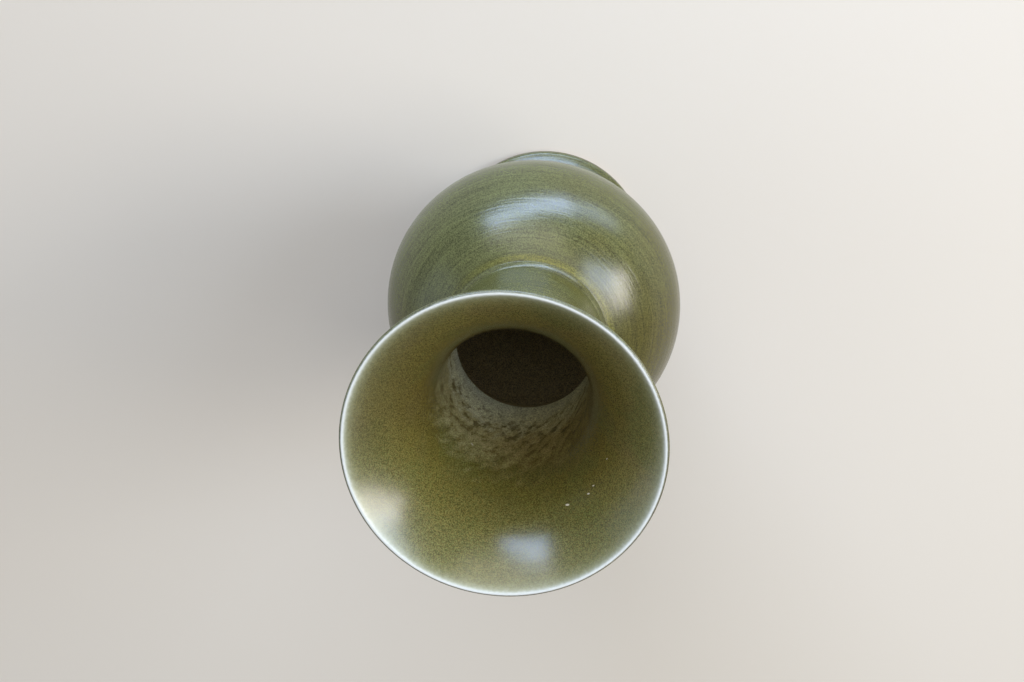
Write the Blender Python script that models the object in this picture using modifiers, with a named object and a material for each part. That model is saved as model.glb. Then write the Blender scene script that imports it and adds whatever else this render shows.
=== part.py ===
"""A wheel-thrown stoneware vase: trumpet mouth, straight neck, globular body, spreading foot.

The vase is thrown in sections that are luted together, so every section is its own solid.
Axis on +Z, origin at the middle of the foot's underside, metres. Run it with
    blender --background --python part.py
"""

import math

import bpy

# Driving dimensions, in metres. Radii are measured from the axis, heights from the foot's underside.
HEIGHT = 0.3700
LIP_RADIUS = 0.0885  # at the lip's crest
LIP_ROUND = 0.00165  # radius of the rounded lip
LIP_SLOPE = math.radians(49)  # lean of the wall under the lip, away from the axis
THROAT_RADIUS = 0.0429  # clear bore where the trumpet meets the neck
THROAT_HEIGHT = 0.2683
FLARE_POWER = 2.56  # how late the trumpet opens out
NECK_BORE = 0.0428
NECK_OUTER = 0.0479
SEAT_TIP_HEIGHT = 0.2035  # the bevelled seat under the neck rises to here at the bore
COLLAR_OUTER = 0.0499
COLLAR_TOP = 0.1995
BELLY_RADIUS = 0.0945
BELLY_HEIGHT = 0.1328
SHOULDER_RISE = 0.0744  # semi-axis of the elliptical shoulder above the belly
UNDERSIDE_DROP = 0.0800  # semi-axis of the elliptical underside below it
UNDERSIDE_END = math.radians(46)  # where that ellipse gives way to the waist
WAIST_RADIUS = 0.0510
WAIST_HEIGHT = 0.0500
BODY_WALL = 0.0055
FLOOR_THICKNESS = 0.0080
FOOT_RADIUS = 0.0678
FOOT_EDGE_LOW = 0.0020
FOOT_EDGE_HIGH = 0.0060
FOOT_RING_OUTER = 0.0657  # the flat ring that the vase stands on
FOOT_RING_INNER = 0.0602
FOOT_BORE = 0.0420  # clear bore at the top of the foot
SEAM = 0.0003  # gap between two sections
STEPS = 48  # around the axis

OLIVE = (0.110, 0.108, 0.042, 1.0)
DEEP_OLIVE = (0.085, 0.080, 0.027, 1.0)


def clear_scene():
    for obj in list(bpy.data.objects):
        bpy.data.objects.remove(obj, do_unlink=True)


def glaze(name, colour, roughness):
    material = bpy.data.materials.new(name)
    material.use_nodes = True
    shader = material.node_tree.nodes["Principled BSDF"]
    shader.inputs["Base Color"].default_value = colour
    shader.inputs["Roughness"].default_value = roughness
    shader.inputs["Metallic"].default_value = 0.0
    return material


def spread(first, last, count):
    """Evenly spaced values from first to last, both included."""
    return [first + (last - first) * i / (count - 1) for i in range(count)]


def arc(centre, radii, start, end, count):
    """(radius, height) points on an ellipse, from angle start to angle end."""
    return [
        (centre[0] + radii[0] * math.cos(a), centre[1] + radii[1] * math.sin(a))
        for a in spread(start, end, count)
    ]


def bezier(p0, p1, p2, p3, count):
    """(radius, height) points on a cubic Bezier curve."""
    points = []
    for t in spread(0, 1, count):
        weights = ((1 - t) ** 3, 3 * t * (1 - t) ** 2, 3 * t * t * (1 - t), t**3)
        corners = (p0, p1, p2, p3)
        points.append(tuple(sum(w * p[k] for w, p in zip(weights, corners)) for k in (0, 1)))
    return points


def inside_of(outline, thickness):
    """The outline of an outer surface, run top to bottom, moved in by the wall's thickness."""
    moved = []
    for i, (radius, height) in enumerate(outline):
        before = outline[max(i - 1, 0)]
        after = outline[min(i + 1, len(outline) - 1)]
        along = (after[0] - before[0], after[1] - before[1])
        length = math.hypot(*along)
        moved.append((radius + along[1] / length * thickness, height - along[0] / length * thickness))
    return moved


def between(outline, lowest, highest):
    """The points of an outline whose heights lie strictly between two heights."""
    return [p for p in outline if lowest < p[1] < highest]


def turned(name, outline, closed, material, collection):
    """Revolves an outline that runs down its outer side. A closed one is a ring around the axis."""
    mesh = bpy.data.meshes.new(name)
    edges = [(i, i + 1) for i in range(len(outline) - 1)]
    if closed:
        edges.append((len(outline) - 1, 0))
    mesh.from_pydata([(r, 0.0, z) for r, z in outline], edges, [])
    obj = bpy.data.objects.new(name, mesh)
    collection.objects.link(obj)
    mesh.materials.append(material)
    screw = obj.modifiers.new("Turn", "SCREW")
    screw.axis = "Z"
    screw.angle = math.tau
    screw.steps = STEPS
    screw.render_steps = STEPS
    screw.use_merge_vertices = True
    screw.merge_threshold = 0.00001
    screw.use_smooth_shade = True
    return obj


def flare_radius(height):
    """Inner radius of the trumpet at a height between the throat and the lip."""
    top_height = HEIGHT - LIP_ROUND + LIP_ROUND * math.sin(LIP_SLOPE)
    top_radius = LIP_RADIUS - LIP_ROUND * math.cos(LIP_SLOPE)
    opening = (height - THROAT_HEIGHT) / (top_height - THROAT_HEIGHT)
    return THROAT_RADIUS + (top_radius - THROAT_RADIUS) * max(opening, 0) ** FLARE_POWER


def mouth_outline():
    """Around the lip, down the outside of the trumpet, and back up its inside."""
    lip_centre = (LIP_RADIUS, HEIGHT - LIP_ROUND)
    crest = math.radians(90)
    inner_start = math.pi - LIP_SLOPE
    outer_end = -LIP_SLOPE
    lip = arc(lip_centre, (LIP_ROUND, LIP_ROUND), inner_start, crest, 3)
    lip += arc(lip_centre, (LIP_ROUND, LIP_ROUND), crest, outer_end, 7)[1:]
    bottom = THROAT_HEIGHT + SEAM / 2
    inner = [(flare_radius(z), z) for z in spread(bottom, lip[0][1], 12)][:-1]
    lean = math.tan(LIP_SLOPE)
    start = lip[-1]
    drop = start[1] - bottom
    outer = bezier(
        start,
        (start[0] - 0.32 * drop * lean, start[1] - 0.32 * drop),
        (NECK_OUTER, bottom + 0.42 * drop),
        (NECK_OUTER, bottom),
        12,
    )
    return lip + outer[1:] + inner


def shoulder_height(radius):
    """Height of the shoulder's outer surface at a radius."""
    return BELLY_HEIGHT + SHOULDER_RISE * math.sqrt(1 - (radius / BELLY_RADIUS) ** 2)


def neck_outline():
    """A tube whose lower end is bevelled, to seat on the cone at the top of the shoulder."""
    top = THROAT_HEIGHT - SEAM / 2
    rim = shoulder_height(NECK_OUTER)
    seat_slope = (SEAT_TIP_HEIGHT - rim) / (NECK_OUTER - NECK_BORE)
    lift = SEAM * math.hypot(1, seat_slope)
    middle = (top + SEAT_TIP_HEIGHT) / 2
    outer = [(NECK_OUTER, top), (NECK_OUTER, middle), (NECK_OUTER, rim + lift)]
    inner = [(NECK_BORE, SEAT_TIP_HEIGHT + lift), (NECK_BORE, middle), (THROAT_RADIUS, top)]
    return outer + inner


def collar_outline():
    """The small ring that closes the corner between the neck and the shoulder."""
    bore = NECK_OUTER + SEAM
    round_off = 0.0009
    foot_outer = (COLLAR_OUTER, shoulder_height(COLLAR_OUTER) + SEAM)
    foot_inner = (bore, shoulder_height(bore) + SEAM)
    centre = (COLLAR_OUTER - round_off, COLLAR_TOP - round_off)
    crown = arc(centre, (round_off, round_off), math.radians(90), 0, 5)
    return [(bore, COLLAR_TOP)] + crown + [foot_outer, foot_inner]


def shoulder_outline():
    """The upper half of the body, from the bevelled seat under the neck to the belly seam."""
    seat_angle = math.acos(NECK_OUTER / BELLY_RADIUS)
    centre = (0, BELLY_HEIGHT)
    seam_angle = math.asin(SEAM / 2 / SHOULDER_RISE)
    outer = arc(centre, (BELLY_RADIUS, SHOULDER_RISE), seat_angle, seam_angle, 15)
    lowest = outer[-1][1]
    inner_top = (NECK_BORE, SEAT_TIP_HEIGHT)
    inner = between(inside_of(outer, BODY_WALL), lowest, inner_top[1] - 0.010)
    inner_end = (BELLY_RADIUS - BODY_WALL, lowest)
    return [inner_top] + outer + [inner_end] + inner[::-1]


def underside_curve():
    """The lower half's outer surface, from the belly to the waist."""
    centre = (0, BELLY_HEIGHT)
    belly = arc(centre, (BELLY_RADIUS, UNDERSIDE_DROP), 0, -UNDERSIDE_END, 10)
    last = belly[-1]
    tangent = (BELLY_RADIUS * math.sin(UNDERSIDE_END), UNDERSIDE_DROP * math.cos(UNDERSIDE_END))
    length = math.hypot(*tangent)
    reach = 0.013
    handle = (last[0] - reach * tangent[0] / length, last[1] - reach * tangent[1] / length)
    waist = bezier(last, handle, (WAIST_RADIUS, WAIST_HEIGHT + 0.007), (WAIST_RADIUS, WAIST_HEIGHT), 6)
    return belly + waist[1:]


def lower_body_outline():
    """The lower half of the body with its floor, open at the belly seam and closed on the axis."""
    top = BELLY_HEIGHT - SEAM / 2
    base = WAIST_HEIGHT + SEAM / 2
    outer = underside_curve()
    floor = WAIST_HEIGHT + FLOOR_THICKNESS
    inner = between(inside_of(outer, BODY_WALL), floor + 0.006, top - 0.002)
    outside = [(BELLY_RADIUS, top)] + between(outer, base, top) + [(WAIST_RADIUS, base), (0, base)]
    corner = (inner[-1][0] - 0.010, floor)
    inside = [(0, floor), corner] + inner[::-1] + [(BELLY_RADIUS - BODY_WALL, top)]
    # The screw wants the axis points at the two ends, so the outline starts with the inside.
    return inside + outside


def foot_outline():
    """The spreading foot: a flared ring that the body stands on, hollow underneath."""
    top = WAIST_HEIGHT - SEAM / 2
    edge_start = (FOOT_RADIUS - 0.0017, 0.0080)
    flare = bezier((WAIST_RADIUS, top), (WAIST_RADIUS, 0.036), (0.0555, 0.0170), edge_start, 9)
    edge = [(FOOT_RADIUS - 0.0006, FOOT_EDGE_HIGH + 0.0009), (FOOT_RADIUS, FOOT_EDGE_HIGH)]
    edge += [(FOOT_RADIUS, FOOT_EDGE_LOW), (FOOT_RING_OUTER, 0), (FOOT_RING_INNER, 0)]
    recess_start = (FOOT_RING_INNER - 0.0012, 0.0016)
    inner = bezier(recess_start, (0.0535, 0.0080), (0.0440, 0.0240), (FOOT_BORE, top), 8)
    return flare + edge + inner


def main():
    clear_scene()
    collection = bpy.data.collections.new("Stoneware vase")
    bpy.context.scene.collection.children.link(collection)
    outside = glaze("glaze_outside", OLIVE, 0.38)
    inside = glaze("glaze_mouth", DEEP_OLIVE, 0.36)
    turned("trumpet_mouth", mouth_outline(), True, inside, collection)
    turned("neck", neck_outline(), True, outside, collection)
    turned("neck_collar", collar_outline(), True, outside, collection)
    turned("upper_body", shoulder_outline(), True, outside, collection)
    turned("lower_body", lower_body_outline(), False, outside, collection)
    turned("foot", foot_outline(), True, outside, collection)


main()
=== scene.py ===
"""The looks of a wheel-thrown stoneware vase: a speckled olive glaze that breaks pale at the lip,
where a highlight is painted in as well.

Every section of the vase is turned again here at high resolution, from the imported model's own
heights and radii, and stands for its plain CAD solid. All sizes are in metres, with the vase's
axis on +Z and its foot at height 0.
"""

import math

import bmesh
import bpy
import numpy as np
from mathutils import Matrix, Quaternion, Vector


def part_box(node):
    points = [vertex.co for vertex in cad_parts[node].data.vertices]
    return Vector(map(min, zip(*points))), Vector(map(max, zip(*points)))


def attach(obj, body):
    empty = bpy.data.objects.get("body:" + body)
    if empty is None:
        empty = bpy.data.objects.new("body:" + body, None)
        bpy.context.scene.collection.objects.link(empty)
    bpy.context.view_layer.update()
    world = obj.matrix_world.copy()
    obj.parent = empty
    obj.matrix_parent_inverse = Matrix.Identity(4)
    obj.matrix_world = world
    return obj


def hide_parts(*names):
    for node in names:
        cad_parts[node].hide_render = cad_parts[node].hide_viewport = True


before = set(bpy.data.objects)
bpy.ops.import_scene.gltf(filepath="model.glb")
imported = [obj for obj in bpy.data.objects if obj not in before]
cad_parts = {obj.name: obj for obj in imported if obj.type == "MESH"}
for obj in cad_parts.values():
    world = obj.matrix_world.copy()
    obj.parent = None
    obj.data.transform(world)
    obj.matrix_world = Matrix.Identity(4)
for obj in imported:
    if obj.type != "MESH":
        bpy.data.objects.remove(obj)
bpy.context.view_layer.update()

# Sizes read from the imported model.
MOUTH_LOW, MOUTH_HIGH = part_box("trumpet_mouth")
NECK_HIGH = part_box("neck")[1]
COLLAR_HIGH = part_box("neck_collar")[1]
SHOULDER_LOW, SHOULDER_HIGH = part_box("upper_body")
UNDERSIDE_LOW, UNDERSIDE_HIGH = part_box("lower_body")
FOOT_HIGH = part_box("foot")[1]

HEIGHT = MOUTH_HIGH.z
THROAT_HEIGHT = (MOUTH_LOW.z + NECK_HIGH.z) / 2
NECK_OUTER = NECK_HIGH.x
COLLAR_OUTER = COLLAR_HIGH.x
COLLAR_TOP = COLLAR_HIGH.z
BELLY_RADIUS = SHOULDER_HIGH.x
BELLY_HEIGHT = (SHOULDER_LOW.z + UNDERSIDE_HIGH.z) / 2
SEAT_TIP_HEIGHT = SHOULDER_HIGH.z  # top of the bevelled seat that the neck stands on
WAIST_HEIGHT = (UNDERSIDE_LOW.z + FOOT_HIGH.z) / 2
FOOT_RADIUS = FOOT_HIGH.x

# Shape of the curves between those sizes.
LIP_ROUND = 0.00165  # radius of the rounded lip
LIP_RADIUS = MOUTH_HIGH.x - LIP_ROUND  # at the lip's crest
LIP_SLOPE = math.radians(49)  # lean of the wall under the lip, away from the axis
THROAT_RADIUS = 0.0429  # bore where the trumpet meets the neck
FLARE_POWER = 2.56  # how late the trumpet opens out
NECK_BORE = 0.0428  # bore at the neck's lower edge
SHOULDER_RISE = 0.0744  # semi-axis of the elliptical shoulder above the belly
UNDERSIDE_DROP = 0.0800  # semi-axis of the elliptical underside below it
UNDERSIDE_END = math.radians(46)  # where that ellipse gives way to the waist
WAIST_RADIUS = 0.0510
BODY_WALL = 0.0055
FLOOR_THICKNESS = 0.0080
FOOT_RING_OUTER = 0.0657  # the flat ring that the vase stands on
FOOT_RING_INNER = 0.0602
FOOT_BORE = 0.0420  # bore at the top of the foot

# Relief of the surface.
TOOL_MARK = 0.00004  # depth of the rings that the turning tool leaves
FINGER_MARK = 0.0006  # depth of the rings that the fingers leave inside the body
FINGER_PITCH = 0.0085
COLLARING_FOLD = 0.0004  # depth of the folds in the neck's bore
SEAM_GROOVE = 0.00015  # depth of the line round the inside of the throat
POOL = 0.0005  # reach of the glaze pooled round the collar

AROUND = 240  # steps around the axis
FINE = 0.0009  # spacing of the points along an outline
SAME = 1e-7  # points closer than this are one point
SHARP_ANGLE = math.radians(38)

# Materials are numbered alike on every piece.
OUTSIDE, INSIDE, BARE = range(3)


# ---------------------------------------------------------------- outlines


def spread(first, last, count):
    """Evenly spaced values from first to last, both included."""
    return [first + (last - first) * i / (count - 1) for i in range(count)]


def arc(centre, radii, start, end, count):
    """(radius, height) points on an ellipse, from angle start to angle end."""
    return [
        (centre[0] + radii[0] * math.cos(a), centre[1] + radii[1] * math.sin(a))
        for a in spread(start, end, count)
    ]


def bezier(p0, p1, p2, p3, count):
    """(radius, height) points on a cubic Bezier curve."""
    points = []
    for t in spread(0, 1, count):
        weights = ((1 - t) ** 3, 3 * t * (1 - t) ** 2, 3 * t * t * (1 - t), t**3)
        corners = (p0, p1, p2, p3)
        points.append(tuple(sum(w * p[k] for w, p in zip(weights, corners)) for k in (0, 1)))
    return points


def line(start, end, count):
    """Evenly spaced (radius, height) points on a straight line."""
    return list(zip(spread(start[0], end[0], count), spread(start[1], end[1], count)))


def normals_of(outline):
    """Unit normals that point out of the wall, for an outline that runs down the outside."""
    points = np.array(outline)
    along = np.gradient(points, axis=0)
    along /= np.linalg.norm(along, axis=1)[:, None]
    return np.stack([-along[:, 1], along[:, 0]], axis=1)


def moved_in(outline, depth):
    """The outline moved into the wall by a depth, or by one depth for each point."""
    return [tuple(p) for p in np.array(outline) - normals_of(outline) * np.reshape(depth, (-1, 1))]


def between(outline, lowest, highest):
    """The points of an outline whose heights lie strictly between two heights."""
    return [p for p in outline if lowest < p[1] < highest]


def run_of(outline):
    """Distance along the outline from its first point."""
    steps = np.linalg.norm(np.diff(np.array(outline), axis=0), axis=1)
    return np.concatenate([[0], np.cumsum(steps)])


def count_for(length):
    """How many points an outline of about that length is given."""
    return max(3, int(length / FINE))


def with_turning_marks(outline, depth, pitch):
    """Presses shallow, uneven rings into a surface, as a turning tool or the fingers leave them.

    Three waves of unlike pitch keep the rings from repeating, and they die away at the ends."""
    run = run_of(outline)
    wave = np.sin(math.tau * run / pitch) + 0.7 * np.sin(math.tau * run / (0.62 * pitch) + 1.3)
    wave += 0.8 * np.sin(math.tau * run / (2.7 * pitch) + 0.4)
    ends = np.minimum(run, run[-1] - run) / (2 * pitch)
    marks = depth * (0.5 + 0.2 * wave) * np.clip(ends, 0, 1)
    return moved_in(outline, marks)


# ---------------------------------------------------------------- turning


def turned(name, strips, closed=True):
    """Revolves strips of (outline, material), which follow one another down the outer side.

    A closed outline is a ring around the axis, and an open one starts and ends on the axis."""
    outline, materials = [], []
    for points, material in strips:
        start = 1 if outline and math.dist(outline[-1], points[0]) < SAME else 0
        if outline and not start:
            materials.append(material)
        outline += points[start:]
        materials += [material] * (len(points) - 1)
    if closed:
        if math.dist(outline[0], outline[-1]) < SAME:
            outline.pop()
        else:
            materials.append(strips[-1][1])
    rows = len(outline)
    turn = np.linspace(0, math.tau, AROUND, endpoint=False)
    radius, height = np.array(outline).T
    vertices = np.stack(
        [
            radius[:, None] * np.cos(turn),
            radius[:, None] * np.sin(turn),
            np.repeat(height[:, None], AROUND, axis=1),
        ],
        axis=2,
    ).reshape(-1, 3)
    faces, face_materials = [], []
    for row in range(rows if closed else rows - 1):
        below = (row + 1) % rows
        for step in range(AROUND):
            after = (step + 1) % AROUND
            ring = [
                row * AROUND + step,
                below * AROUND + step,
                below * AROUND + after,
                row * AROUND + after,
            ]
            faces.append(ring)
            face_materials.append(materials[row])
    mesh = bpy.data.meshes.new(name)
    mesh.from_pydata(vertices.tolist(), [], faces)
    mesh.polygons.foreach_set("material_index", face_materials)
    if not closed:
        merge_axis_points(mesh)
    mesh.shade_smooth()
    mesh.set_sharp_from_angle(angle=SHARP_ANGLE)
    piece = bpy.data.objects.new(name, mesh)
    bpy.context.scene.collection.objects.link(piece)
    return piece


def merge_axis_points(mesh):
    """Welds the rings of zero radius at the two ends of an open outline."""
    work = bmesh.new()
    work.from_mesh(mesh)
    on_axis = [v for v in work.verts if math.hypot(v.co.x, v.co.y) < SAME]
    bmesh.ops.remove_doubles(work, verts=on_axis, dist=10 * SAME)
    work.to_mesh(mesh)
    work.free()


# ---------------------------------------------------------------- sections


def flare_radius(height):
    """Inner radius of the trumpet at a height between the throat and the lip."""
    top_height = HEIGHT - LIP_ROUND + LIP_ROUND * math.sin(LIP_SLOPE)
    top_radius = LIP_RADIUS - LIP_ROUND * math.cos(LIP_SLOPE)
    opening = (height - THROAT_HEIGHT) / (top_height - THROAT_HEIGHT)
    return THROAT_RADIUS + (top_radius - THROAT_RADIUS) * max(opening, 0) ** FLARE_POWER


def trumpet_mouth():
    """The flare and its rounded lip, with a fine groove where it meets the neck inside."""
    centre = (LIP_RADIUS, HEIGHT - LIP_ROUND)
    round_both = (LIP_ROUND, LIP_ROUND)
    crest = math.radians(90)
    lip_inside = arc(centre, round_both, math.pi - LIP_SLOPE, crest, 9)
    lip_outside = arc(centre, round_both, crest, -LIP_SLOPE, 19)
    start = lip_outside[-1]
    drop = start[1] - THROAT_HEIGHT
    upper_pull = 0.32 * drop  # how far the slope under the lip holds on
    lower_pull = 0.42 * drop  # how far up the neck's straight wall holds on
    outside = bezier(
        start,
        (start[0] - upper_pull * math.tan(LIP_SLOPE), start[1] - upper_pull),
        (NECK_OUTER, THROAT_HEIGHT + lower_pull),
        (NECK_OUTER, THROAT_HEIGHT),
        count_for(length=0.118),
    )
    outside = with_turning_marks(outside, TOOL_MARK, pitch=0.0026)
    heights = spread(THROAT_HEIGHT, lip_inside[0][1], count_for(length=0.118))
    inside = [(flare_radius(z), z) for z in heights]
    inside = with_turning_marks(inside, TOOL_MARK, pitch=0.0031)
    inside[0] = (THROAT_RADIUS + SEAM_GROOVE, THROAT_HEIGHT)
    seam = [outside[-1], inside[0]]
    return turned(
        "mouth_flare",
        [
            (lip_outside, OUTSIDE),
            (outside, OUTSIDE),
            (seam, BARE),
            (inside, INSIDE),
            (lip_inside, INSIDE),
        ],
    )


def shoulder_height(radius):
    """Height of the shoulder's outer surface at a radius."""
    return BELLY_HEIGHT + SHOULDER_RISE * math.sqrt(1 - (radius / BELLY_RADIUS) ** 2)


def neck():
    """The straight tube, bevelled below to sit on the shoulder."""
    top = THROAT_HEIGHT
    rim = shoulder_height(NECK_OUTER)
    tip = (NECK_BORE, SEAT_TIP_HEIGHT)
    outside = line((NECK_OUTER, top), (NECK_OUTER, rim), count_for(top - rim))
    outside = with_turning_marks(outside, TOOL_MARK, pitch=0.0026)
    seat = [(NECK_OUTER, rim), tip]
    inside = line(tip, (THROAT_RADIUS, top), count_for(top - tip[1]))
    inside[-1] = (THROAT_RADIUS + SEAM_GROOVE, top)
    seam = [inside[-1], (NECK_OUTER, top)]
    strips = [(outside, OUTSIDE), (seat, BARE), (inside, INSIDE), (seam, BARE)]
    piece = turned("neck_tube", strips)
    add_collaring_folds(piece, tip[1], top)
    return piece


def add_collaring_folds(piece, low, high):
    """Presses slanting shallow folds into the bore, where squeezing the neck has twisted the clay.

    Three sets of folds slant by unlike amounts, and they die away at both ends of the neck."""
    mid_wall = (NECK_BORE + NECK_OUTER) / 2
    for vertex in piece.data.vertices:
        radius = math.hypot(vertex.co.x, vertex.co.y)
        if radius > mid_wall:
            continue
        angle = math.atan2(vertex.co.y, vertex.co.x)
        share = (vertex.co.z - low) / (high - low)
        fold = math.sin(9 * angle + 7 * share) + 0.6 * math.sin(17 * angle - 11 * share + 1.0)
        fold += 0.5 * math.sin(29 * angle + 23 * share + 2.0)
        depth = COLLARING_FOLD * (0.5 + 0.22 * fold) * math.sin(math.pi * min(1, max(0, share)))
        vertex.co.x *= 1 + depth / radius
        vertex.co.y *= 1 + depth / radius


def neck_collar():
    """The ring in the corner between neck and shoulder, with the glaze pooled above and below it."""
    foot_radius = COLLAR_OUTER + POOL
    foot_edge = (foot_radius, shoulder_height(foot_radius))
    bevel = bezier(
        (NECK_OUTER + POOL, COLLAR_TOP - 0.8 * POOL),
        (NECK_OUTER + 2 * POOL, COLLAR_TOP - 2.0 * POOL),
        (COLLAR_OUTER - 0.6 * POOL, COLLAR_TOP - 4.4 * POOL),
        (COLLAR_OUTER, COLLAR_TOP - 5.6 * POOL),
        15,
    )
    top_pool = bezier(
        (NECK_OUTER, COLLAR_TOP + 0.6 * POOL),
        (NECK_OUTER, COLLAR_TOP - 0.1 * POOL),
        (NECK_OUTER + 0.5 * POOL, COLLAR_TOP - 0.3 * POOL),
        bevel[0],
        6,
    )
    foot_pool = bezier(
        bevel[-1],
        (COLLAR_OUTER + 0.1 * POOL, foot_edge[1] + 0.7 * POOL),
        (COLLAR_OUTER + 0.4 * POOL, foot_edge[1] + 0.3 * POOL),
        foot_edge,
        6,
    )
    hidden = [foot_edge, (NECK_OUTER, shoulder_height(NECK_OUTER)), top_pool[0]]
    return turned(
        "collar_ring",
        [(top_pool + bevel[1:] + foot_pool[1:], OUTSIDE), (hidden, BARE)],
    )


def upper_body():
    """The shoulder half of the body, down to the belly seam."""
    centre = (0, BELLY_HEIGHT)
    radii = (BELLY_RADIUS, SHOULDER_RISE)
    seat_angle = math.acos(NECK_OUTER / BELLY_RADIUS)
    outside = arc(centre, radii, seat_angle, 0, count_for(length=0.115))
    tip = (NECK_BORE, SEAT_TIP_HEIGHT)
    lining = between(moved_in(outside, BODY_WALL), BELLY_HEIGHT, tip[1] - 0.010)
    lining = with_turning_marks(lining[::-1], FINGER_MARK, FINGER_PITCH)[::-1]
    outside = with_turning_marks(outside, TOOL_MARK, pitch=0.0023)
    seam = [outside[-1], (BELLY_RADIUS - BODY_WALL, BELLY_HEIGHT)]
    inside = [seam[-1]] + lining[::-1] + [tip]
    return turned(
        "shoulder_shell",
        [(outside, OUTSIDE), (seam, BARE), (inside, INSIDE), ([tip, outside[0]], BARE)],
    )


def underside_curve():
    """The lower half's outer surface, from the belly to the waist."""
    centre = (0, BELLY_HEIGHT)
    radii = (BELLY_RADIUS, UNDERSIDE_DROP)
    belly = arc(centre, radii, 0, -UNDERSIDE_END, count_for(length=0.070))
    last = belly[-1]
    tangent = (BELLY_RADIUS * math.sin(UNDERSIDE_END), UNDERSIDE_DROP * math.cos(UNDERSIDE_END))
    length = math.hypot(*tangent)
    reach = 0.013
    handle = (last[0] - reach * tangent[0] / length, last[1] - reach * tangent[1] / length)
    waist = bezier(
        last,
        handle,
        (WAIST_RADIUS, WAIST_HEIGHT + 0.007),
        (WAIST_RADIUS, WAIST_HEIGHT),
        count_for(length=0.030),
    )
    return belly + waist[1:]


def lower_body():
    """The lower half of the body with the vessel's floor, its outline open on the axis."""
    outside = underside_curve()
    floor = WAIST_HEIGHT + FLOOR_THICKNESS
    lining = between(moved_in(outside, BODY_WALL), floor + 0.006, BELLY_HEIGHT - 0.001)
    lining = with_turning_marks(lining[::-1], FINGER_MARK, FINGER_PITCH)[::-1]
    outside = with_turning_marks(outside, TOOL_MARK, pitch=0.0027)
    wall_end = lining[-1]
    corner = (wall_end[0] - 0.010, floor)
    bend = bezier(
        corner,
        (corner[0] + 0.006, floor),
        (wall_end[0] - 0.003, floor + 0.003),
        wall_end,
        10,
    )
    rim = (BELLY_RADIUS - BODY_WALL, BELLY_HEIGHT)
    inside = line((0, floor), corner, 30) + bend[1:] + lining[::-1][1:] + [rim]
    base = [outside[-1], (0, WAIST_HEIGHT)]
    return turned(
        "belly_shell",
        [(inside, INSIDE), ([rim, outside[0]], BARE), (outside, OUTSIDE), (base, OUTSIDE)],
        closed=False,
    )


def foot():
    """The spreading foot. Its glaze stops short of the bare ring that it stands on."""
    waist = (WAIST_RADIUS, WAIST_HEIGHT)
    edge_start = (FOOT_RADIUS - 0.0017, 0.0080)
    flare = bezier(
        waist, (WAIST_RADIUS, 0.036), (0.0555, 0.0170), edge_start, count_for(length=0.048)
    )
    edge = bezier(
        edge_start,
        (FOOT_RADIUS - 0.0008, 0.0073),
        (FOOT_RADIUS, 0.0068),
        (FOOT_RADIUS, 0.0055),
        9,
    )
    edge += line(edge[-1], (FOOT_RADIUS, 0.0028), 4)[1:]
    bare_top = (FOOT_RADIUS - 0.0003, 0.0024)
    outer_round = 0.0018
    inner_round = 0.0012
    down = -math.radians(90)
    ring = [bare_top]
    ring += arc((FOOT_RING_OUTER, outer_round), (outer_round, outer_round), 0, down, 9)
    ring += line((FOOT_RING_OUTER, 0), (FOOT_RING_INNER, 0), 8)[1:]
    ring += arc((FOOT_RING_INNER, inner_round), (inner_round, inner_round), down, -math.pi, 7)[1:]
    recess_start = (FOOT_RING_INNER - 0.0016, 0.0020)
    recess_end = (FOOT_BORE, WAIST_HEIGHT)
    recess = bezier(
        recess_start, (0.0535, 0.0080), (0.0440, 0.0240), recess_end, count_for(length=0.055)
    )
    return turned(
        "foot_ring",
        [
            (flare, OUTSIDE),
            (edge, OUTSIDE),
            ([edge[-1], bare_top], OUTSIDE),
            (ring, BARE),
            ([ring[-1], recess_start], OUTSIDE),
            (recess, OUTSIDE),
            ([recess[-1], waist], BARE),
        ],
    )


# ---------------------------------------------------------------- materials


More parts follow.
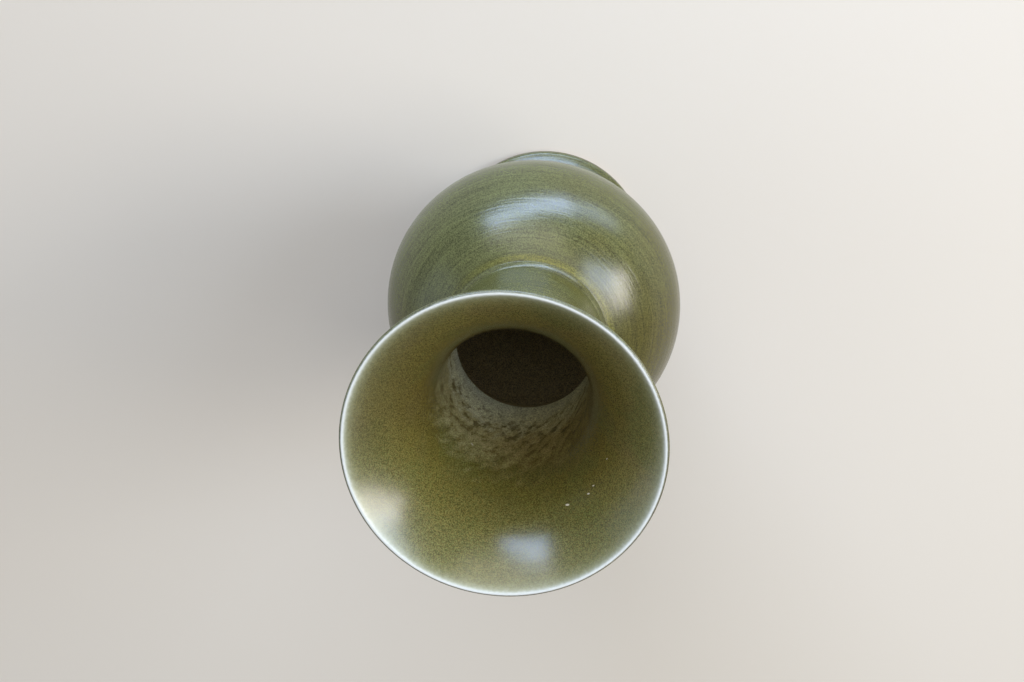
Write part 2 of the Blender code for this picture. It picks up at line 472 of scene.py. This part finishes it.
class Finish:
    """A Principled material and the chain of nodes that feeds it, in the vase's own coordinates."""

    def __init__(self, name):
        self.material = bpy.data.materials.new(name)
        self.material.use_nodes = True
        self.tree = self.material.node_tree
        self.shader = self.tree.nodes["Principled BSDF"]
        self.place = self.put("ShaderNodeTexCoord").outputs["Object"]
        parts = self.put("ShaderNodeSeparateXYZ", {"Vector": self.place}).outputs
        self.x, self.y, self.height = parts
        flat = self.put("ShaderNodeCombineXYZ", {"X": self.x, "Y": self.y}).outputs[0]
        self.radius = self.vectors("LENGTH", flat)

    def put(self, kind, inputs=None, **settings):
        """Adds a node. Each input is a value, or the socket that it is linked from."""
        node = self.tree.nodes.new(kind)
        for key, value in settings.items():
            setattr(node, key, value)
        for socket, value in (inputs or {}).items():
            if isinstance(value, bpy.types.NodeSocket):
                self.tree.links.new(value, node.inputs[socket])
            else:
                node.inputs[socket].default_value = value
        return node

    def calc(self, operation, a, b=0.0):
        """Arithmetic with single numbers."""
        return self.put("ShaderNodeMath", {0: a, 1: b}, operation=operation).outputs[0]

    def vectors(self, operation, a, b=(0.0, 0.0, 0.0)):
        """Vector arithmetic, which gives a number for a length or a dot product."""
        outputs = self.put("ShaderNodeVectorMath", {0: a, 1: b}, operation=operation).outputs
        return outputs["Value" if operation in ("LENGTH", "DOT_PRODUCT") else "Vector"]

    def fade(self, value, start, end, low=0.0, high=1.0):
        """Goes smoothly from low to high as the value goes from start to end."""
        sockets = {"Value": value, "From Min": start, "From Max": end}
        sockets.update({"To Min": low, "To Max": high})
        node = self.put("ShaderNodeMapRange", sockets, interpolation_type="SMOOTHSTEP", clamp=True)
        return node.outputs["Result"]

    def grain(self, size, detail=2.0, roughness=0.5, shift=0.0, vector=None):
        """Noise whose features are about that many metres across, from 0 to 1 around 0.5."""
        moved = self.vectors("ADD", vector or self.place, (shift, shift, shift))
        sockets = {"Vector": moved, "Scale": 1 / size, "Detail": detail, "Roughness": roughness}
        return self.put("ShaderNodeTexNoise", sockets, noise_dimensions="3D").outputs["Fac"]

    def twisted(self, turn, squeeze):
        """Coordinates that turn with the height, so that noise in them runs in slanting streaks."""
        angle = self.calc("MULTIPLY", self.height, turn)
        sockets = {"Vector": self.place, "Angle": angle}
        wound = self.put("ShaderNodeVectorRotate", sockets, rotation_type="Z_AXIS").outputs[0]
        return self.vectors("MULTIPLY", wound, (1.0, 1.0, squeeze))

    def speckle(self, size, contrast=0.16, shift=0.0):
        """Light and dark specks, from 0 to 1: the lower the contrast value, the starker."""
        noise = self.grain(size, 1.5, 0.6, shift)
        return self.fade(noise, 0.5 - contrast, 0.5 + contrast)

    def lines(self, pitch, detail=2.0, drift=1.0, shift=0.0):
        """Turning lines of about that pitch, from 0 to 1: noise drawn out round the axis."""
        shrink = self.calc("DIVIDE", drift * pitch, self.radius)
        around_x = self.calc("MULTIPLY", self.x, shrink)
        around_y = self.calc("MULTIPLY", self.y, shrink)
        out = self.calc("ADD", self.radius, shift)
        sockets = {"X": out, "Y": self.height, "Z": around_x}
        stretched = self.put("ShaderNodeCombineXYZ", sockets).outputs[0]
        sockets = {"Vector": stretched, "W": around_y, "Scale": 1 / pitch, "Detail": detail}
        noise = self.put("ShaderNodeTexNoise", sockets, noise_dimensions="4D").outputs["Fac"]
        return self.fade(noise, 0.32, 0.68)

    def swing(self, noise, width):
        """Turns noise from 0 to 1 into a value from minus to plus half that width."""
        return self.calc("MULTIPLY", self.calc("SUBTRACT", noise, 0.5), width)

    def mix(self, factor, a, b):
        """The first colour where the factor is 0, the second where it is 1."""
        node = self.put("ShaderNodeMix", data_type="RGBA")
        for socket, value in ((0, factor), (6, a), (7, b)):
            if isinstance(value, bpy.types.NodeSocket):
                self.tree.links.new(value, node.inputs[socket])
            elif socket:
                node.inputs[socket].default_value = (*value, 1)
            else:
                node.inputs[socket].default_value = value
        return node.outputs[2]

    def lighten(self, colour, parts):
        """Scales a colour by 1 plus each (noise - 0.5) times its weight."""
        total = 1.0
        for noise, weight in parts:
            total = self.calc("ADD", total, self.swing(noise, weight))
        node = self.put("ShaderNodeVectorMath", {0: colour, "Scale": total}, operation="SCALE")
        return node.outputs[0]

    def crest_gap(self):
        """Distance from the circle along the crest of the lip."""
        out = self.calc("SUBTRACT", self.radius, LIP_RADIUS)
        up = self.calc("SUBTRACT", self.height, HEIGHT)
        squares = self.calc("ADD", self.calc("MULTIPLY", out, out), self.calc("MULTIPLY", up, up))
        return self.calc("SQRT", squares)

    def thinned_at_lip(self, reach, power, speckle):
        """How far the glaze has thinned: 1 on the crest of the lip, a half at reach from it."""
        share = self.calc("POWER", self.calc("DIVIDE", self.crest_gap(), reach), power)
        ragged = self.calc("MULTIPLY", share, self.fade(speckle, 0.25, 0.75, 1.35, 0.70))
        return self.calc("DIVIDE", 1.0, self.calc("ADD", ragged, 1.0))

    def bump(self, layers):
        """Layers of (height, depth in metres), each laid over the one before."""
        normal = None
        for height, depth in layers:
            sockets = {"Height": height, "Distance": depth, "Strength": 1.0}
            if normal:
                sockets["Normal"] = normal
            normal = self.put("ShaderNodeBump", sockets).outputs[0]
        self.tree.links.new(normal, self.shader.inputs["Normal"])

    def finish(self, colour, roughness):
        """Feeds the shader, and gives the finished material."""
        self.tree.links.new(colour, self.shader.inputs["Base Color"])
        self.tree.links.new(roughness, self.shader.inputs["Roughness"])
        return self.material

    def glossy(self, colour, speckle):
        """Finishes a glaze, whose gloss varies a little with its speckle."""
        return self.finish(colour, self.fade(speckle, 0.2, 0.8, 0.19, 0.27))


# The pale crest is partly a painted highlight: brighter and bluer than the bare lip.
PALE_CLAY_AND_SHEEN = (0.60, 0.65, 0.67)  # on the crest of the lip, where the glaze has run off
THIN_GLAZE = (0.220, 0.235, 0.135)  # just inside it


def outside_glaze():
    """Grey-olive, with painted warm shade towards -X and +Y, fine turning lines and a band round the
    collar.
    """
    f = Finish("outside_glaze")
    speckle = f.speckle(0.0008)
    fleck = f.grain(0.0026, 2.0, 0.5, shift=0.3)
    cloud = f.grain(0.045, 3.0, 0.55, shift=0.7)
    fine = f.lines(0.0012, 3.0, drift=2.6)
    broad = f.lines(0.0050, 3.0, drift=1.2, shift=0.02)

    # Painted warm shade: darker, yellower olive towards -X and +Y, away from the sky light.
    grey_olive = (0.075, 0.082, 0.029)
    painted_shade_olive = (0.062, 0.055, 0.011)
    painted_light_side = (0.8, -0.6, 0.0)
    across = f.vectors("DOT_PRODUCT", f.place, painted_light_side)
    across = f.calc("ADD", across, f.swing(cloud, 0.16))
    colour = f.mix(f.fade(across, 0.086, -0.070), grey_olive, painted_shade_olive)
    colour = f.mix(collar_band(f), colour, (0.102, 0.098, 0.014))

    colour = f.lighten(colour, [(speckle, 0.75), (fleck, 0.40), (fine, 0.38), (broad, 0.10)])
    # The pale lip crest, partly a painted highlight.
    colour = f.mix(f.thinned_at_lip(0.0005, 3.0, fleck), colour, PALE_CLAY_AND_SHEEN)
    f.bump([(broad, 0.000012), (fine, 0.00003), (speckle, 0.000015)])
    return f.glossy(colour, speckle)


def collar_band(f):
    """1 in the thin yellow-green band on the shoulder round the collar, strongest towards -X."""
    on_shoulder = f.fade(f.height, 0.186, 0.190)
    below_ledge = f.fade(f.height, COLLAR_TOP - 0.0025, COLLAR_TOP - 0.0035)
    band = f.fade(f.radius, COLLAR_OUTER + 0.0056, COLLAR_OUTER + 0.0030)
    inner_edge = f.fade(f.radius, COLLAR_OUTER + 0.0002, COLLAR_OUTER + 0.0014)
    band = f.calc("MULTIPLY", band, inner_edge)
    band = f.calc("MULTIPLY", band, f.calc("MULTIPLY", on_shoulder, below_ledge))
    return f.calc("MULTIPLY", band, f.fade(f.x, 0.050, -0.010, 0.25, 0.95))


CHIPS = [
    # (angle round the axis in degrees, height, half width) of pale chips of glaze in the flare
    (136, 0.3356, 0.0008),
    (150, 0.3383, 0.0006),
    (155, 0.3371, 0.0005),
    (172, 0.3355, 0.0004),
    (65, 0.2833, 0.0006),
]


def chip_mask(f):
    """1 inside the few pale chips, which are drawn out at a slant to the turning."""
    mask = 0.0
    for degrees, height, reach in CHIPS:
        angle = math.radians(degrees)
        radius = flare_radius(height)
        centre = Vector((radius * math.cos(angle), radius * math.sin(angle), height))
        around = Vector((-math.sin(angle), math.cos(angle), 0))
        slant = (around + Vector((0, 0, 0.8))).normalized()
        gap = f.vectors("SUBTRACT", f.place, centre)
        along = f.calc("MULTIPLY", f.vectors("DOT_PRODUCT", gap, slant), 0.92)
        size = f.vectors("LENGTH", gap)
        squares = f.calc("SUBTRACT", f.calc("POWER", size, 2), f.calc("POWER", along, 2))
        across = f.calc("SQRT", f.calc("MAXIMUM", squares, 0.0))
        mask = f.calc("MAXIMUM", mask, f.fade(across, reach, 0.55 * reach))
    return mask


def flare_colour(f):
    """Yellow-brown olive with greener and browner patches.

    It is lighter towards the lip, greener towards +Y with painted cool light, and darker towards +X
    with painted shade."""
    cloud = f.grain(0.040, 3.0, 0.55, shift=0.7)
    hue = f.speckle(0.0009, shift=0.8)
    deep = (0.100, 0.079, 0.013)
    rising = (0.120, 0.112, 0.031)
    brown = (0.104, 0.086, 0.030)
    green = (0.078, 0.090, 0.024)
    rust = (0.105, 0.069, 0.016)
    shade = (0.060, 0.048, 0.014)

    colour = f.mix(f.fade(f.height, 0.315, 0.362), deep, rising)
    browner = f.fade(f.grain(0.030, 2.0, 0.55, shift=0.2), 0.48, 0.68, 0.0, 0.65)
    colour = f.mix(browner, colour, brown)
    # Painted cool light: greener towards +Y, on the wall that faces the sky light.
    towards_y = f.fade(f.y, -0.01, 0.05, 0.0, 0.6)
    greener = f.calc("MAXIMUM", f.fade(cloud, 0.42, 0.62, 0.0, 0.75), towards_y)
    colour = f.mix(greener, colour, green)
    colour = f.mix(f.fade(hue, 0.0, 1.0, 0.0, 0.45), colour, rust)
    # Painted shade: browner and darker towards +X.
    darker = f.calc("MULTIPLY", f.fade(f.x, 0.020, 0.075, 0.0, 0.6), f.fade(f.y, 0.045, 0.0))
    return f.mix(darker, colour, shade)


def over_the_neck(f, colour, mottle):
    """Lays the neck's milky, ragged-edged, spotted glaze, brightened with painted light, over the
    flare's colour.
    """
    spots = f.grain(0.0046, 2.5, 0.58, vector=f.twisted(6, 0.5))
    # Painted light: the neck's pale colours are brighter than its glaze, and lighter still towards
    # +X.
    painted_light_towards_x = f.fade(f.x, -0.025, 0.030)
    ragged_height = f.calc("ADD", f.height, f.swing(mottle, 0.060))
    thin = f.mix(painted_light_towards_x, (0.340, 0.280, 0.110), (0.400, 0.375, 0.190))
    colour = f.mix(f.fade(ragged_height, 0.312, 0.256), colour, thin)
    milky = f.mix(painted_light_towards_x, (0.640, 0.610, 0.370), (0.800, 0.850, 0.650))
    colour = f.mix(f.fade(ragged_height, 0.266, 0.216), colour, milky)

    # Pale bloom low in the neck, partly painted light, stronger towards +X.
    low_down = f.fade(f.height, 0.230, 0.205, 0.0, 0.8)
    edge_bloom_and_painted_light = f.calc("MULTIPLY", low_down, f.fade(f.x, -0.02, 0.03, 0.3, 1.0))
    colour = f.mix(edge_bloom_and_painted_light, colour, (0.760, 0.820, 0.740))

    below_flare = f.fade(f.height, 0.310, 0.280)
    above_edge = f.fade(f.height, 0.208, 0.240, 0.25, 1.0)
    spotted = f.calc("MULTIPLY", below_flare, above_edge)
    blotches = f.calc("MULTIPLY", f.fade(spots, 0.48, 0.66, 0.0, 0.72), spotted)
    return f.mix(blotches, colour, (0.100, 0.076, 0.019))


def inside_glaze():
    """Yellow-brown olive in the flare, milky and mottled in the neck, buff in the body; painted
    light and shade in flare and neck.
    """
    f = Finish("inside_glaze")
    speckle = f.speckle(0.0007)
    fleck = f.grain(0.0022, 2.0, 0.5, shift=0.3)
    mottle = f.grain(0.0065, 4.0, 0.60, vector=f.twisted(9, 0.5))
    chips = chip_mask(f)

    colour = over_the_neck(f, flare_colour(f), mottle)
    in_body = f.fade(f.height, SEAT_TIP_HEIGHT, SEAT_TIP_HEIGHT - 0.0006)
    colour = f.mix(in_body, colour, (0.410, 0.344, 0.196))
    colour = f.lighten(colour, [(speckle, 0.95), (fleck, 0.50)])
    colour = f.mix(f.thinned_at_lip(0.0044, 2.0, fleck), colour, THIN_GLAZE)
    # The pale lip crest, partly a painted highlight.
    colour = f.mix(f.thinned_at_lip(0.0012, 2.6, fleck), colour, PALE_CLAY_AND_SHEEN)
    colour = f.mix(chips, colour, (0.55, 0.52, 0.42))
    f.bump([(mottle, 0.00004), (speckle, 0.000010), (chips, 0.00010)])
    return f.glossy(colour, speckle)


def bare_stoneware():
    """Unglazed brown clay with dark iron specks."""
    f = Finish("bare_stoneware")
    sand = f.grain(0.0007, 3.0, 0.7)
    iron = f.grain(0.0015, 1.0, 0.5, shift=0.6)
    colour = f.mix(f.fade(iron, 0.62, 0.70), (0.30, 0.19, 0.11), (0.08, 0.05, 0.03))
    colour = f.lighten(colour, [(sand, 0.9)])
    f.bump([(sand, 0.00012)])
    return f.finish(colour, f.fade(sand, 0.2, 0.8, 0.72, 0.92))


def plain(name, colour, roughness):
    """A material of one colour, for the floor alone."""
    material = bpy.data.materials.new(name)
    material.use_nodes = True
    shader = material.node_tree.nodes["Principled BSDF"]
    shader.inputs["Base Color"].default_value = (*colour, 1)
    shader.inputs["Roughness"].default_value = roughness
    return material


# ---------------------------------------------------------------- studio


def soft_panel(name, direction, distance, size, colour, power, along=(1, 0, 0), fan=180):
    """A rectangular area light that faces the middle of the vase, its long side lying along a line.

    It sends its light out within a fan of that many degrees."""
    target = Vector((0, 0, 0.24))
    light = bpy.data.lights.new(name, "AREA")
    light.shape = "RECTANGLE"
    light.size, light.size_y = size
    light.color = colour
    light.energy = power
    light.spread = math.radians(fan)
    lamp = bpy.data.objects.new(name, light)
    bpy.context.scene.collection.objects.link(lamp)
    away = Vector(direction).normalized()
    lamp.location = target + away * distance
    upright = away.cross(Vector(along)).normalized()
    axes = Matrix((upright.cross(away), upright, away)).transposed()
    lamp.rotation_euler = axes.to_euler()
    lamp.visible_camera = False


def studio_floor():
    """The plain pale floor that the vase stands on."""
    mesh = bpy.data.meshes.new("studio_floor")
    reach = 6.0
    mesh.from_pydata(
        [(-reach, -reach, 0), (reach, -reach, 0), (reach, reach, 0), (-reach, reach, 0)],
        [],
        [(0, 1, 2, 3)],
    )
    floor = bpy.data.objects.new("studio_floor", mesh)
    bpy.context.scene.collection.objects.link(floor)
    mesh.materials.append(plain("pale_floor", (0.56, 0.53, 0.48), 0.9))


def studio_light():
    """Even warm light from all round, warm panels, and blue panels that stand for the sky."""
    world = bpy.data.worlds.new("studio_light")
    world.use_nodes = True
    background = world.node_tree.nodes["Background"]
    background.inputs["Color"].default_value = (1.0, 0.96, 0.90, 1)
    background.inputs["Strength"].default_value = 0.40
    bpy.context.scene.world = world

    warm_white = (1.0, 0.95, 0.88)
    sky_blue = (0.52, 0.68, 1.0)
    pale_blue = (0.66, 0.80, 1.0)
    cream_slope = (-0.06, 0.67, 0.28)
    high_slope = (1.0, 0.55, 0.33)
    sky_slope = (1.0, 0.15, 0.43)
    middle = (0.05, -1.0, -0.01)
    low_end = (-0.34, -0.93, -0.17)
    soft_panel("front_panel", (0, -0.55, 0.83), 2.4, (2.0, 1.2), warm_white, 14)
    soft_panel("side_panel", (-0.62, -0.18, 0.76), 2.4, (1.2, 1.2), warm_white, 20)
    soft_panel("back_panel", (0.9, 0.2, 0.4), 2.4, (1.6, 1.6), pale_blue, 6)
    soft_panel("cream_panel", (-0.85, -0.34, 0.40), 2.2, (0.9, 0.5), warm_white, 20, cream_slope)
    soft_panel("sky_panel", (0.45, -0.87, 0.20), 5.0, (2.6, 1.36), sky_blue, 158, high_slope)
    soft_panel("sky_middle", middle, 1.2, (0.54, 0.34), sky_blue, 2.5, sky_slope, fan=100)
    soft_panel("sky_low_end", low_end, 0.75, (0.48, 0.19), sky_blue, 0.5, sky_slope, fan=100)
    soft_panel("sky_corner", (-0.66, -0.49, 0.57), 2.2, (1.0, 0.6), pale_blue, 19)
    soft_panel("sky_haze", (0.25, -0.82, 0.52), 2.4, (2.2, 0.8), warm_white, 15)


def camera():
    """Looks down into the mouth from in front of the vase, turned over in its own plane."""
    location = Vector((0, -0.4611, 1.4324))
    aim = Vector((0.0084, 0.0021, 0.200))
    roll = math.radians(-167)
    data = bpy.data.cameras.new("photo_view")
    data.lens = 75
    data.sensor_width = 36
    data.clip_start, data.clip_end = 0.05, 50
    eye = bpy.data.objects.new("photo_view", data)
    bpy.context.scene.collection.objects.link(eye)
    eye.location = location
    look = (aim - location).to_track_quat("-Z", "Y")
    eye.rotation_mode = "QUATERNION"
    eye.rotation_quaternion = look @ Quaternion((0, 0, 1), roll)
    bpy.context.scene.camera = eye


def main():
    bpy.context.scene.view_settings.view_transform = "Standard"
    finishes = [outside_glaze(), inside_glaze(), bare_stoneware()]
    sections = [
        (trumpet_mouth, "trumpet_mouth", "mouth_glaze"),
        (neck, "neck", "neck_glaze"),
        (neck_collar, "neck_collar", "body_glaze"),
        (upper_body, "upper_body", "body_glaze"),
        (lower_body, "lower_body", "body_glaze"),
        (foot, "foot", "foot_glaze"),
    ]
    for make, node, slot in sections:
        piece = make()
        for material in finishes:
            piece.data.materials.append(material)
        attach(piece, "root")
        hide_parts(node)
    studio_floor()
    studio_light()
    camera()


main()
